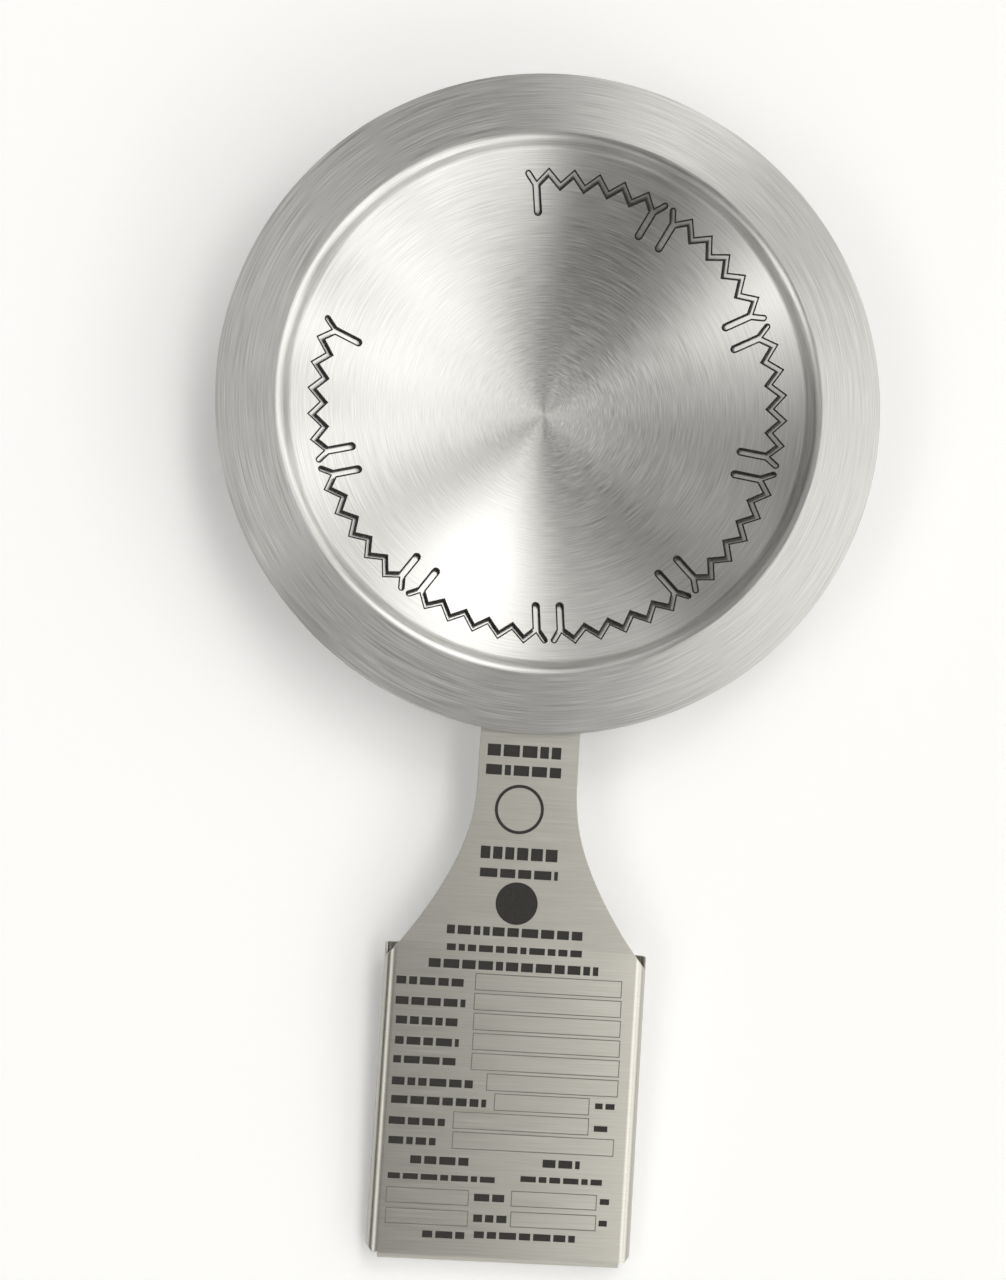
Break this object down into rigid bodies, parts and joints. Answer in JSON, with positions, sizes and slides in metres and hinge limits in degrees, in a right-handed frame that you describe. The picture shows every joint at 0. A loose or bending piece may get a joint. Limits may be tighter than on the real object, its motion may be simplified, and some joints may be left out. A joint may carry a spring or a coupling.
{
  "type": "rupture disc",
  "caption": "Reverse-acting slotted rupture disc with a dished, slit vent sheet, a seal membrane, a support ring and a folded name tag.",
  "frame": {"origin": "centre of the flange, on its vent-side seating face", "axes": "+Z out of the vent-side face along the disc's axis, -Y along the name tag, +X to the right seen from the vent side"},
  "size_m": [0.132, 0.2336, 0.0169],
  "materials": {
    "brushed_stainless": "circular brushed, bright",
    "bright_membrane": "smooth, bright",
    "ring_stainless": "fine turned",
    "tag_stainless": "fine brushed, warm grey"
  },
  "bodies": {
    "root": {"slotted_dome": "brushed_stainless", "seal_membrane": "bright_membrane", "support_ring": "ring_stainless", "name_tag": "tag_stainless"}
  },
  "joints": []
}
